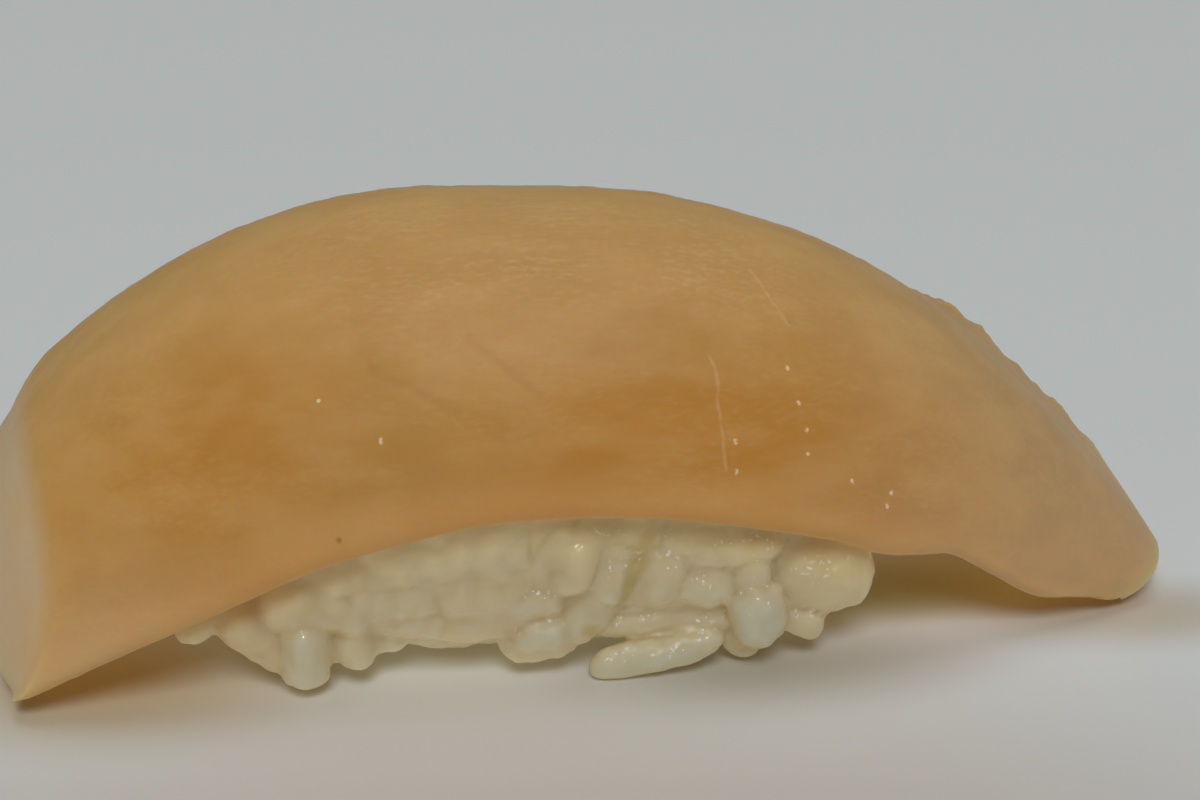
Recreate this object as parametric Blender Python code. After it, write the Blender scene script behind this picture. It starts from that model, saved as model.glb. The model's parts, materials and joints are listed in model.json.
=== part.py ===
"""A nigiri: one slice of pale tuna draped over a hand-pressed finger of sushi rice.

X runs along the slice, -Y is the front and +Z is up, in metres. The floor is Z = 0.
"""

import math
import random

import bmesh
import bpy
import numpy as np
from mathutils import Matrix, Vector
from mathutils.bvhtree import BVHTree

# The slice hangs over three rails: front edge, crown and back edge. Each gives how far it reaches
# to the left and right of the slice's middle, its place there, and how far it has fallen at each end.
SLICE_MIDDLE = -0.0037
FRONT_REACH, CROWN_REACH, BACK_REACH = (0.0308, 0.0378), (0.0370, 0.0424), (0.0356, 0.0419)
FRONT_Y, FRONT_Y_FALL = -0.0135, ((0.147, 2.0), (0.568, 2.0))
FRONT_Z, FRONT_Z_FALL = 0.0114, ((0.945, 1.26), (0.99, 1.47))
CROWN_Y = -0.0001
CROWN_Z, CROWN_Z_FALL = 0.0271, ((0.77, 2.27), (0.925, 1.88))
BACK_Y, BACK_Y_FALL = 0.0129, ((0.113, 2.0), (0.113, 2.0))
BACK_Z, BACK_Z_FALL = 0.0198, ((0.63, 3.6), (0.765, 3.1))
SOFTEN = 0.15  # keeps each fall smooth where it starts
# How the rails wave: (where along the slice, half-width as a share of its half-length, height).
FRONT_WAVES = (
    (-0.42, 0.14, 0.0003), (0.54, 0.05, -0.0003), (0.67, 0.05, 0.0006),
    (0.84, 0.07, -0.0009), (1.0, 0.022, 0.0006), (-1.0, 0.03, 0.0004),
)
CROWN_WAVES = ((-0.20, 0.20, 0.0003), (0.31, 0.15, -0.00035))
BACK_WAVES = ((0.75, 0.05, 0.0005), (0.89, 0.05, -0.0004))
FRONT_ARC, BACK_ARC = math.radians(83), math.radians(64)  # how far each side has turned down

SLICE_THICK, FRONT_THICK, BACK_THICK = 0.0042, 0.0024, 0.0010
THINNING = 2.5  # how late it thins towards its long edges
LEFT_BEVEL, RIGHT_BEVEL = 0.21, 0.20  # pared ends, as shares of the half length
LEFT_PARED, RIGHT_PARED = 1.5, 0.6  # the left end's cut face bows out, and the right end closes late
EDGE_ROUND = 0.07  # rounded margin, as a share of the half width
BACK_RAGGED = 0.0005  # how far the torn back edge wanders
SLICE_STEPS, SLICE_ROWS = 56, 20
CROWDED_ENDS, CROWDED_EDGES = math.radians(80), math.radians(90)  # finer towards the slice's edges

# The rice under it: a rounded finger, with the grains that show pressed into its face.
RICE_CENTRE = Vector((-0.0038, 0.0002, 0.0105))
RICE_HALF = Vector((0.0218, 0.0114, 0.0108))
RICE_CROWN_HALF = 0.0140  # the upper half is taller, so that it fills the slice
RICE_SQUARE = 3.1
RICE_STEPS, RICE_ROWS = 24, 14
GAP = 0.0003
FLAT_ENOUGH = math.radians(3)  # neighbouring faces that turn less than this are joined
LOWEST_GRAIN = 0.0030  # scattered grains keep clear of the foot, which is pressed flat
FRONT_CLEAR = -0.0045  # the grains in front of this are placed one by one
BARE_DEPTH = 0.0006  # nearer to the slice than this, the rice is pressed smooth

GRAIN_SEED = 5
GRAIN_TRIES = 6000
GRAIN_SPACING = 0.0029
GRAIN_LENGTHS = (0.0056, 0.0072)
GRAIN_WIDTHS = (0.0025, 0.0031)
GRAIN_PROUD = (-0.0003, 0.0006)  # height of a grain's middle line over the core
GRAIN_SLANT = 0.7  # how far most grains turn away from the finger's length
STANDING_SHARE = 0.3  # the share of grains that stand on end instead
BROAD = 0.0030  # wider grains than this are flattened
GRAIN_SIDES = 5
GRAIN_RINGS = ((-0.38, 0.74), (0.0, 1.0), (0.38, 0.74))  # place along the grain, share of its width

# Grains that stand out at the front: middle, tilt in degrees, length and width.
FRONT_GRAINS = (
    ((0.0033, -0.0104, 0.0013), 10, 0.0083, 0.0022),
    ((0.0038, -0.0095, 0.0031), 1, 0.0090, 0.0020),
    ((0.0039, -0.0101, 0.0063), 20, 0.0033, 0.0027),
    ((0.0059, -0.0105, 0.0056), -86, 0.0031, 0.0027),
    ((0.0073, -0.0099, 0.0080), -4, 0.0073, 0.0026),
    ((0.0091, -0.0101, 0.0061), 85, 0.0034, 0.0026),
    ((0.0094, -0.0105, 0.0036), -78, 0.0042, 0.0032),
    ((0.0085, -0.0093, 0.0019), -50, 0.0031, 0.0024),
    ((0.0122, -0.0090, 0.0028), -25, 0.0034, 0.0027),
    ((0.0138, -0.0092, 0.0054), -6, 0.0066, 0.0046),
    ((0.0005, -0.0103, 0.0065), 70, 0.0036, 0.0027),
    ((-0.0010, -0.0100, 0.0044), 50, 0.0047, 0.0028),
    ((-0.0019, -0.0106, 0.0076), 82, 0.0034, 0.0027),
    ((-0.0040, -0.0103, 0.0051), 10, 0.0034, 0.0023),
    ((-0.0036, -0.0104, 0.0031), 6, 0.0034, 0.0021),
    ((-0.0037, -0.0095, 0.0022), -1, 0.0050, 0.0024),
    ((-0.0022, -0.0090, 0.0091), 3, 0.0065, 0.0027),
    ((0.0014, -0.0090, 0.0087), -2, 0.0059, 0.0027),
    ((-0.0133, -0.0096, 0.0073), 14, 0.0070, 0.0026),
    ((-0.0082, -0.0099, 0.0084), 9, 0.0070, 0.0032),
    ((-0.0120, -0.0098, 0.0056), 2, 0.0070, 0.0026),
    ((-0.0072, -0.0099, 0.0060), 2, 0.0064, 0.0029),
    ((-0.0103, -0.0097, 0.0042), -3, 0.0070, 0.0022),
    ((-0.0069, -0.0098, 0.0040), 6, 0.0059, 0.0025),
    ((-0.0219, -0.0086, 0.0044), 22, 0.0061, 0.0025),
    ((-0.0208, -0.0088, 0.0032), -38, 0.0039, 0.0026),
    ((-0.0194, -0.0092, 0.0029), -55, 0.0034, 0.0026),
    ((-0.0172, -0.0099, 0.0027), -90, 0.0043, 0.0030),
    ((-0.0175, -0.0095, 0.0053), -10, 0.0051, 0.0034),
    ((-0.0153, -0.0097, 0.0052), -15, 0.0042, 0.0030),
    ((-0.0144, -0.0094, 0.0027), -80, 0.0031, 0.0024),
    ((-0.0126, -0.0090, 0.0026), 10, 0.0027, 0.0017),
)


def clear_scene():
    for thing in list(bpy.data.objects):
        bpy.data.objects.remove(thing, do_unlink=True)


def food_material(name, colour, roughness):
    material = bpy.data.materials.new(name)
    material.use_nodes = True
    shader = material.node_tree.nodes["Principled BSDF"]
    shader.inputs["Base Color"].default_value = (*colour, 1)
    shader.inputs["Roughness"].default_value = roughness
    shader.inputs["Metallic"].default_value = 0
    return material


def mesh_object(name, points, faces):
    mesh = bpy.data.meshes.new(name)
    mesh.from_pydata([tuple(point) for point in points], [], faces)
    thing = bpy.data.objects.new(name, mesh)
    bpy.context.collection.objects.link(thing)
    return thing


def fall(u, sides):
    """What is left of a height at u, from 1 at the middle, by (share lost, power) on the left and right."""
    far = (np.sqrt(u * u + SOFTEN**2) - SOFTEN) / (math.sqrt(1 + SOFTEN**2) - SOFTEN)
    left, right = (1 - share * far**power for share, power in sides)
    return np.where(u < 0, left, right)


def turned_down(t, arc):
    """Steps out and down along an arc that starts level, each from 0 to 1."""
    return np.sin(t * arc) / math.sin(arc), (1 - np.cos(t * arc)) / (1 - math.cos(arc))


def waves(u, bumps):
    return sum(height * np.exp(-(((u - middle) / width) ** 2)) for middle, width, height in bumps)


def slice_skin(u, v):
    """The slice's upper face. u runs from end to end and v from front to back, both from -1 to 1."""
    front, crown, back = (np.where(u < 0, *reach) for reach in (FRONT_REACH, CROWN_REACH, BACK_REACH))
    x = SLICE_MIDDLE + u * (crown + v * (back - front) / 2 + v * v * ((front + back) / 2 - crown))
    out, down = turned_down(np.clip(-v, 0, 1), FRONT_ARC)
    back_out, back_down = turned_down(np.clip(v, 0, 1), BACK_ARC)
    y_front, y_back = FRONT_Y * fall(u, FRONT_Y_FALL), BACK_Y * fall(u, BACK_Y_FALL)
    z_front = FRONT_Z * fall(u, FRONT_Z_FALL) + waves(u, FRONT_WAVES)
    z_crown = CROWN_Z * fall(u, CROWN_Z_FALL) + waves(u, CROWN_WAVES)
    z_back = BACK_Z * fall(u, BACK_Z_FALL) + waves(u, BACK_WAVES)
    torn = BACK_RAGGED * np.clip(v, 0, 1) ** 6 * (np.sin(11 * u + 1) + np.sin(29 * u) * 0.5)
    y = CROWN_Y + (y_front - CROWN_Y) * out + (y_back - CROWN_Y) * back_out + torn
    z = z_crown - (z_crown - z_front) * down - (z_crown - z_back) * back_down
    return np.stack(np.broadcast_arrays(x, y, z), -1)


def bevel(width, v):
    """How far a pared end reaches along the slice, least at its front corner."""
    return width * (1.03 - np.clip(-v, 0, 1) ** 6)


def slice_faces(u, v):
    """The slice's upper and lower faces, which meet all round its edge."""
    step = 1e-3
    skin = slice_skin(u, v)
    along = slice_skin(u + step, v) - slice_skin(u - step, v)
    across = slice_skin(u, v + step) - slice_skin(u, v - step)
    normal = np.cross(along, across)
    normal /= np.linalg.norm(normal, axis=-1, keepdims=True)
    edge = np.where(v < 0, FRONT_THICK, BACK_THICK)
    full = SLICE_THICK - (SLICE_THICK - edge) * np.abs(v) ** THINNING
    left = 1 - np.clip(1 - (u + 1) / bevel(LEFT_BEVEL, v), 0, 1) ** LEFT_PARED
    right = np.clip((1 - u) / bevel(RIGHT_BEVEL, v), 0, 1) ** RIGHT_PARED
    thick = full * left * right
    rim = np.sqrt(1 - np.clip((np.abs(v) - 1 + EDGE_ROUND) / EDGE_ROUND, 0, 1) ** 2)
    middle = skin - normal * (full * (1 - left) + thick / 2)[..., None]
    half = normal * (thick / 2 * rim)[..., None]
    return middle + half, middle - half


def slice_grid():
    """Rows and columns over the slice, closer together near its edges."""
    along = np.sin(np.linspace(-1, 1, SLICE_STEPS + 1) * CROWDED_ENDS) / math.sin(CROWDED_ENDS)
    across = np.sin(np.linspace(-1, 1, SLICE_ROWS + 1) * CROWDED_EDGES) / math.sin(CROWDED_EDGES)
    return along[:, None], across[None, :]


def build_slice(name, grow=0.0):
    """One closed sheet: the upper and lower faces share the points of their common edge."""
    upper, lower = slice_faces(*slice_grid())
    steps, rows = upper.shape[:2]
    top = np.arange(steps * rows).reshape(steps, rows)
    bottom = top.copy()
    bottom[1:-1, 1:-1] = steps * rows + np.arange((steps - 2) * (rows - 2)).reshape(steps - 2, rows - 2)
    points = np.concatenate([upper.reshape(-1, 3), lower[1:-1, 1:-1].reshape(-1, 3)])
    faces = []
    for i in range(steps - 1):
        for j in range(rows - 1):
            near, far = top[i, j : j + 2], top[i + 1, j : j + 2]
            faces.append((int(near[0]), int(far[0]), int(far[1]), int(near[1])))
            near, far = bottom[i, j : j + 2], bottom[i + 1, j : j + 2]
            faces.append((int(near[0]), int(near[1]), int(far[1]), int(far[0])))
    sheet = mesh_object(name, points, faces)
    if grow:
        for vertex, normal in zip(sheet.data.vertices, [v.normal.copy() for v in sheet.data.vertices]):
            vertex.co += normal * grow
    return sheet


def on_core(direction):
    """The point of the rice's core that lies in a direction from its centre."""
    tall = RICE_CROWN_HALF if direction.z > 0 else RICE_HALF.z
    half = (RICE_HALF.x, RICE_HALF.y, tall)
    size = sum(abs(part / reach) ** RICE_SQUARE for part, reach in zip(direction, half))
    return RICE_CENTRE + direction / size ** (1 / RICE_SQUARE)


def core_normal(point):
    offset = point - RICE_CENTRE
    tall = RICE_CROWN_HALF if offset.z > 0 else RICE_HALF.z
    half = (RICE_HALF.x, RICE_HALF.y, tall)
    slopes = (
        math.copysign(abs(part / reach) ** (RICE_SQUARE - 1) / reach, part)
        for part, reach in zip(offset, half)
    )
    return Vector(slopes).normalized()


def build_core():
    """The bare finger of rice, closed at both ends."""
    shape = bmesh.new()
    rings = []
    for row in range(1, RICE_ROWS):
        bow = math.pi * row / RICE_ROWS
        ring = []
        for step in range(RICE_STEPS):
            turn = 2 * math.pi * step / RICE_STEPS
            across = Vector((0, math.cos(turn), math.sin(turn))) * math.sin(bow)
            direction = across - Vector((math.cos(bow), 0, 0))
            ring.append(shape.verts.new(on_core(direction)))
        rings.append(ring)
    for near, far in zip(rings, rings[1:]):
        for k in range(RICE_STEPS):
            other = (k + 1) % RICE_STEPS
            shape.faces.new((near[k], near[other], far[other], far[k]))
    for ring, end in ((rings[0], -1), (rings[-1], 1)):
        tip = shape.verts.new(on_core(Vector((end, 0, 0))))
        for k in range(RICE_STEPS):
            shape.faces.new((ring[k], ring[(k + 1) % RICE_STEPS], tip))
    return finish_shape(shape, "core")


def finish_shape(shape, name):
    bmesh.ops.recalc_face_normals(shape, faces=shape.faces)
    mesh = bpy.data.meshes.new(name)
    shape.to_mesh(mesh)
    shape.free()
    thing = bpy.data.objects.new(name, mesh)
    bpy.context.collection.objects.link(thing)
    return thing


def build_grain(middle, along, outward, length, width):
    """One grain: a short rod with rounded ends, lying along the rice's face."""
    along = along.normalized()
    side = outward.cross(along).normalized()
    up = along.cross(side) * min(1, BROAD / width)
    shape = bmesh.new()
    rings = []
    for place, share in GRAIN_RINGS:
        ring = []
        for k in range(GRAIN_SIDES):
            turn = 2 * math.pi * k / GRAIN_SIDES
            spread = (side * math.cos(turn) + up * math.sin(turn)) * (width / 2 * share)
            ring.append(shape.verts.new(middle + along * (place * length) + spread))
        rings.append(ring)
    for near, far in zip(rings, rings[1:]):
        for k in range(GRAIN_SIDES):
            other = (k + 1) % GRAIN_SIDES
            shape.faces.new((near[k], near[other], far[other], far[k]))
    for ring, end in ((rings[0], -0.5), (rings[-1], 0.5)):
        tip = shape.verts.new(middle + along * (end * length))
        for k in range(GRAIN_SIDES):
            shape.faces.new((ring[k], ring[(k + 1) % GRAIN_SIDES], tip))
    return finish_shape(shape, "grain")


def front_places():
    """The grains that stand out at the front, each with its middle, direction, outward side and size."""
    for middle, tilt, length, width in FRONT_GRAINS:
        lean = math.radians(tilt)
        yield Vector(middle), Vector((math.cos(lean), 0, math.sin(lean))), Vector((0, -1, 0)), length, width


def scattered_places(taken, fish):
    """Evenly spread grains, seeded, over what the slice leaves bare."""
    draw = random.Random(GRAIN_SEED)
    spots = [middle for middle, *_ in taken]
    for _ in range(GRAIN_TRIES):
        direction = Vector([draw.gauss(0, 1) * half for half in RICE_HALF]).normalized()
        direction = Vector([part * half for part, half in zip(direction, RICE_HALF)]).normalized()
        point = on_core(direction)
        outward = core_normal(point)
        pressed = fish.find_nearest(point)[3] < BARE_DEPTH or point.z < LOWEST_GRAIN
        if pressed or point.y < FRONT_CLEAR or any((point - spot).length < GRAIN_SPACING for spot in spots):
            continue
        spots.append(point)
        lie = Vector((1, draw.uniform(-GRAIN_SLANT, GRAIN_SLANT), draw.uniform(-GRAIN_SLANT, GRAIN_SLANT)))
        if draw.random() < STANDING_SHARE:
            lie = Vector((draw.uniform(-0.4, 0.4), draw.uniform(-1, 1), 1))
        along = lie - outward * lie.dot(outward) * draw.uniform(0.6, 1.0)  # some poke out a little
        middle = point + outward * draw.uniform(*GRAIN_PROUD)
        yield middle, along, outward, draw.uniform(*GRAIN_LENGTHS), draw.uniform(*GRAIN_WIDTHS)


def join_by(thing, others, operation):
    """One Boolean between the thing and a collection of others, applied."""
    group = bpy.data.collections.new("others")
    bpy.context.scene.collection.children.link(group)
    for other in others:
        bpy.context.collection.objects.unlink(other)
        group.objects.link(other)
    boolean = thing.modifiers.new("join", "BOOLEAN")
    boolean.operation = operation
    boolean.operand_type = "COLLECTION"
    boolean.collection = group
    boolean.solver = "MANIFOLD"
    bpy.context.view_layer.update()
    joined = bpy.data.meshes.new_from_object(thing.evaluated_get(bpy.context.evaluated_depsgraph_get()))
    thing.modifiers.clear()
    thing.data = joined
    for other in list(group.objects):
        bpy.data.objects.remove(other, do_unlink=True)
    bpy.data.collections.remove(group)


def keep_largest(thing):
    """Drops loose scraps and the walls of sealed hollows."""
    shape = bmesh.new()
    shape.from_mesh(thing.data)
    bmesh.ops.dissolve_limit(shape, angle_limit=FLAT_ENOUGH, verts=shape.verts, edges=shape.edges)
    bmesh.ops.triangulate(shape, faces=shape.faces)
    unseen, pieces = set(shape.verts), []
    while unseen:
        piece, edge = set(), [unseen.pop()]
        while edge:
            vertex = edge.pop()
            piece.add(vertex)
            near = {link.other_vert(vertex) for link in vertex.link_edges} & unseen
            unseen -= near
            edge.extend(near)
        pieces.append(piece)
    largest = max(pieces, key=len)
    bmesh.ops.delete(shape, geom=[v for v in shape.verts if v not in largest], context="VERTS")
    shape.to_mesh(thing.data)
    shape.free()


def floor_slab():
    shape = bmesh.new()
    bmesh.ops.create_cube(shape, size=1, matrix=Matrix.Diagonal((0.08, 0.06, 0.02, 1)))
    bmesh.ops.translate(shape, verts=shape.verts, vec=(0, 0, -0.01))
    return finish_shape(shape, "floor")


def build_rice(fish_mesh):
    """The core and its grains as one solid, pressed under the slice and flat where it rests."""
    fish = BVHTree.FromPolygons([v.co for v in fish_mesh.vertices], [p.vertices for p in fish_mesh.polygons])
    standing = list(front_places())
    places = standing + list(scattered_places(standing, fish))
    rice = build_core()
    join_by(rice, [build_grain(*place) for place in places], "UNION")
    join_by(rice, [build_slice("swollen", grow=GAP), floor_slab()], "DIFFERENCE")
    keep_largest(rice)
    rice.name = "rice"
    return rice


def shade_smooth(thing):
    thing.data.polygons.foreach_set("use_smooth", [True] * len(thing.data.polygons))
    thing.data.update()


clear_scene()
fish_slice = build_slice("fish_slice")
fish_slice.data.materials.append(food_material("tuna_flesh", (0.42, 0.23, 0.09), 0.3))
rice = build_rice(fish_slice.data)
rice.data.materials.clear()
rice.data.materials.append(food_material("sushi_rice", (0.62, 0.55, 0.40), 0.35))
for piece in (fish_slice, rice):
    shade_smooth(piece)
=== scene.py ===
"""The looks of a tuna nigiri: a translucent amber slice draped over sticky, glistening rice.

X runs along the slice, -Y is the front and +Z is up, in metres. The floor is Z = 0.
"""

import json
import math
import random

import bmesh
import bpy
import numpy as np
from mathutils import Matrix, Vector, noise
from mathutils.bvhtree import BVHTree

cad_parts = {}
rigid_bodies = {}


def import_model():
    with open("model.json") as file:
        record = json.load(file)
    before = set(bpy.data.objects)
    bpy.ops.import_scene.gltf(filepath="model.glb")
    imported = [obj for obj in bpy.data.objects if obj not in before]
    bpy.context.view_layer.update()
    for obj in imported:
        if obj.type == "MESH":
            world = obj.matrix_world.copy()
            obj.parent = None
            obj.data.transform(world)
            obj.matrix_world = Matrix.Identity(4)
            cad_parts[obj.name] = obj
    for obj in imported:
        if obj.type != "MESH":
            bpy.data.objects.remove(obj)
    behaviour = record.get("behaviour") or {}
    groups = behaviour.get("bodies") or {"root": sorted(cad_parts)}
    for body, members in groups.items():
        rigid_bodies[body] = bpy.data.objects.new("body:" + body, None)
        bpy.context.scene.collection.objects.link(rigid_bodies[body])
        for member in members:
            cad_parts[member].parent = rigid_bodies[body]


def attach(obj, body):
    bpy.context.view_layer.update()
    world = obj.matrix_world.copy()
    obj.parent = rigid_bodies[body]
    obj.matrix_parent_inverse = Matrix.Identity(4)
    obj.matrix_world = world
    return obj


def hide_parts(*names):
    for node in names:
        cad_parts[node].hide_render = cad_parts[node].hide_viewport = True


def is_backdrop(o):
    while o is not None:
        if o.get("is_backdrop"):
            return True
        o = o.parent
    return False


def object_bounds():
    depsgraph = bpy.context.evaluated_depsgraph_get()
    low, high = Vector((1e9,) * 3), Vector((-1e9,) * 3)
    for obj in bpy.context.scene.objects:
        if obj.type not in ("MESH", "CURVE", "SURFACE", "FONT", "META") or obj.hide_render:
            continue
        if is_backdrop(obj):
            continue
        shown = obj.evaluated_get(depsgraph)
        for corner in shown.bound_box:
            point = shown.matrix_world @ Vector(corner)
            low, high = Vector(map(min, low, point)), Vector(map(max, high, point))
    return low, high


# The view: where the camera looks, from which side and how far off.
LOOK_AT = Vector((0.001486, 0.0007, 0.013559))
VIEW_AZIMUTH, VIEW_ELEVATION = math.radians(-8), math.radians(20)
VIEW_DISTANCE = 0.130
SENSOR, LENS = 36.0, 62.4  # mm
NEAREST_SEEN = 0.005

# The slice hangs over three rails, as the solid does: front edge, crown and back edge. Each gives how far it
# reaches to the left and right of the slice's middle, its place there, and how far it falls to each end.
SLICE_MIDDLE = -0.0037
FRONT_REACH, CROWN_REACH, BACK_REACH = (0.0308, 0.0378), (0.0370, 0.0424), (0.0356, 0.0419)
FRONT_Y, FRONT_Y_FALL = -0.0135, ((0.147, 2.0), (0.568, 2.0))
FRONT_Z, FRONT_Z_FALL = 0.0114, ((0.945, 1.26), (0.99, 1.47))
CROWN_Y = -0.0001
CROWN_Z, CROWN_Z_FALL = 0.0271, ((0.77, 2.27), (0.925, 1.88))
BACK_Y, BACK_Y_FALL = 0.0129, ((0.113, 2.0), (0.113, 2.0))
BACK_Z, BACK_Z_FALL = 0.0198, ((0.63, 3.6), (0.765, 3.1))
SOFTEN = 0.15  # keeps each fall smooth where it starts
# How the rails wave: (where along the slice, half-width as a share of its half-length, height).
FRONT_WAVES = (
    (-0.42, 0.14, 0.0003), (0.54, 0.05, -0.0003), (0.67, 0.05, 0.0006),
    (0.84, 0.07, -0.0009), (1.0, 0.022, 0.0006), (-1.0, 0.03, 0.0004),
)
CROWN_WAVES = ((-0.20, 0.20, 0.0003), (0.31, 0.15, -0.00035))
BACK_WAVES = (
    (0.75, 0.05, 0.0005), (0.785, 0.012, 0.0003), (0.735, 0.012, 0.0002),
    (0.89, 0.05, -0.0004), (0.93, 0.02, 0.0002),
)
FRONT_ARC, BACK_ARC = math.radians(83), math.radians(64)  # how far each side has turned down
SLICE_THICK, FRONT_THICK, BACK_THICK = 0.0042, 0.0024, 0.0010
THINNING = 2.5  # how late it thins towards its long edges
LEFT_BEVEL, RIGHT_BEVEL = 0.21, 0.20  # pared ends, as shares of the half length
LEFT_PARED, RIGHT_PARED = 1.5, 0.6  # the left end's cut face bows out, and the right end closes late
EDGE_ROUND = 0.07  # rounded margin, as a share of the half width
CORNER_CUT, CORNER_POWER = 1.03, 6  # the pared ends run out at the front corners
BACK_RAGGED = 0.0005  # how far the torn back edge wanders
RAGGED_POWER, RAGGED_WAVES = 6, ((11, 1, 1.0), (29, 0, 0.5))  # rate along the slice, start and share
SLICE_STEPS, SLICE_ROWS = 300, 130
CROWDED_ENDS, CROWDED_EDGES = math.radians(80), math.radians(90)  # finer towards the slice's edges

# The slice's relief: its height, the size and share of each octave, and which way it mostly rises.
SKIN_RELIEF, EDGE_RAGGED = 0.00012, 0.0005
RELIEF_OCTAVES = ((0.0035, 0.6), (0.0014, 0.6), (0.0006, 0.35))
UPWARD = np.array((0.0, -0.3, 0.95))
RAGGED_U, RAGGED_V = (0.5, 0.7), (0.7, 1.0)  # where the thin far edge grows ragged

# Places on the slice in u and v: the middle of each, and its reach.
DEEP_PLACES = (
    ((-0.53, -0.61), (0.36, 0.44)), ((0.12, -0.80), (0.34, 0.26)), ((0.42, -0.70), (0.38, 0.38)),
)
# The crown is paler: partly the flesh's own colour and partly painted sheen where the top catches the light.
CROWN_PLACE = ((0.0, -0.1), (1.2, 0.7))
TOE_PLACE = ((-0.90, -1.0), (0.45, 0.40))  # the left end's lower corner
WET_PLACE = ((0.03, -0.30), (0.60, 0.50))  # where the upper face glistens
TAIL_U = (0.35, 0.85)  # where the right end turns greyer
LIP_V = (-0.86, -0.94)  # where the front edge turns paler
UNDER_U, UNDER_V = (1.0, 0.95), (1.0, 0.9)  # where its painted glow on the underside starts, in from each edge
# The pale band of the left end's cut face, and how it fades towards the back.
BAND_INSET, BAND_SOFT = 0.008, 0.04
BAND_BACK, BAND_FADE_V = 0.35, (-0.3, 0.35)

# Marks on the slice: (u, v) from and to, and half-width.
PLACE_SCALE = (0.040, 0.0205)  # turns u and v into metres along the skin
PALE_STREAKS = (
    ((0.250, -0.595), (0.272, -0.860), 0.00018), ((0.315, -0.305), (0.367, -0.460), 0.00020),
)
SEAMS = (((-0.270, -0.600), (-0.135, -0.735), 0.0005), ((-0.107, -0.565), (0.0, -0.705), 0.0005))
# Water beads, each painted pale in the colour as a painted glint: their places in u and v.
BEADS = (
    (0.380, -0.670), (0.392, -0.735), (0.395, -0.79), (0.470, -0.830), (0.532, -0.825), (0.527, -0.86),
    (-0.360, -0.64), (-0.27, -0.76), (0.285, -0.79), (0.29, -0.86), (0.36, -0.585),
)
BEAD_SIZE, STREAK_SWAY = 0.00024, 0.0006
SPECK, SPECK_SIZE = (-0.365, -0.935), 0.0003

# The flesh's colours, in linear red, green and blue.
AMBER = ((0.615, 0.345, 0.093), (0.655, 0.38, 0.112))
# Zones in the order they are laid on: name, share and colour.
FLESH_ZONES = (
    ("deep", 0.8, (0.625, 0.30, 0.05)),
    ("lip", 0.5, (0.74, 0.43, 0.15)),
    # partly painted sheen: the crown is paler
    ("crown", 0.6, (0.655, 0.415, 0.18)),
    ("tail", 0.7, (0.555, 0.38, 0.225)),
    ("toe", 0.9, (0.72, 0.50, 0.26)),
)
CUT_TINT = (0.9, (0.72, 0.56, 0.345))
THIN_FLESH = (0.64, 0.46, 0.25)
MOTTLE, FLECK = (0.76, 0.49, 0.20), (0.84, 0.63, 0.33)
# Its marks: share and colour, or colour alone.
SEAM_TINT = (0.22, (0.52, 0.24, 0.06))
SPECK_TINT = (0.7, (0.30, 0.12, 0.03))
# The water beads' colour is a painted glint.
STREAK, BEAD_GLINT = (0.88, 0.66, 0.38), (1.0, 0.86, 0.58)
# The underside is painted to glow amber, standing in for light that passes through the flesh.
FLESH_GLOW = (0.17, 0.075, 0.0, 1)

# The rice, pressed into a rounded finger.
RICE_CENTRE = Vector((-0.0038, 0.0002, 0.0105))
RICE_HALF = Vector((0.0218, 0.0114, 0.0103))
RICE_CROWN_HALF = 0.0140  # the upper half is taller, so that it fills the slice
RICE_SQUARE = 3.1
RICE_STEPS, RICE_ROWS = 48, 36
SUNK = 0.0002  # how far the rice is pressed into the slice
PRESS_STEPS, PRESS_ROWS = 60, 30
SLAB = (0.08, 0.06, 0.02)  # stands for the floor that the rice is cut flat on

# The grains on it. Those in front are placed one by one, and the rest are scattered.
LOWEST_GRAIN = 0.0030  # scattered grains keep clear of the foot, which is pressed flat
FRONT_CLEAR = -0.0045  # the grains in front of this are placed one by one
BARE_DEPTH = 0.0006  # nearer to the slice than this, the rice is pressed smooth
GRAIN_SEED = 5
GRAIN_TRIES = 6000
GRAIN_SPACING = 0.0029
GRAIN_LENGTHS = (0.0056, 0.0072)
GRAIN_WIDTHS = (0.0025, 0.0031)
GRAIN_PROUD = (-0.0003, 0.0006)  # height of a grain's middle line over the core
GRAIN_SLANT = 0.7  # how far most grains turn away from the finger's length
STANDING_SHARE, STANDING_SLANT = 0.3, 0.4  # the share of grains that stand on end, and how far those lean
LAID_FLAT = (0.6, 1.0)  # how much of its slope off the core a grain gives up
GRAIN_SIDES, GRAIN_RINGS = 14, 13
BROAD = 0.0030  # wider grains than this are flattened
GRAIN_BEND, GRAIN_FLAT = 0.06, (0.82, 1.0)
GRAIN_WAIST, WAIST_RATE, WAIST_START = 0.06, 2.2, (0, 6.28)  # how its girth swells and narrows
BLUNT_ENDS, ROUND_ENDS, STOUT = 4, 2.2, 1.3  # grains wider than STOUT times BROAD have rounder ends

# How the rice is run together. It is smoothed most where it was pressed: from one x to another.
RICE_VOXEL = 0.00026
PRESSED_FROM, PRESSED_TO = -0.0035, -0.0065
PRESSED_ROUNDS, ROUND_SHARE, LOOSE_SHARE = 5, 0.5, 0.1
LOW_X, LOW_Z = (-0.0118, -0.0138), (0.0048, 0.0038)  # the low grains at the left are loose again
RICE_RELIEF = ((0.0024, 0.00030), (0.0010, 0.00016), (0.0005, 0.00005))
FOOT_FLAT = (0.0, 0.001)  # its relief starts above the foot

# Where the rice changes colour, and where light and shade are painted on it.
AMBER_REACH = 0.0034  # how far from the slice the rice is painted amber, for light that passes through the flesh onto it
# Painted shade in the creases between grains: how wide, and how strong where the rice is pressed.
CREASE_WIDTH, PRESSED_CREASES = 0.00025, 0.25
BARE_Y, BARE_Z = (-0.0106, -0.0116), (0.0065, 0.0045)  # low grains that stand out in front are painted whiter, as lit fully outside the slice's shade
GLINT_Y, GLINT_FACING, GLINT_TURN = (-0.0098, -0.0104), (0.0, -0.77, 0.64), (0.75, 0.95)  # and get painted glints where they face this way
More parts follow.
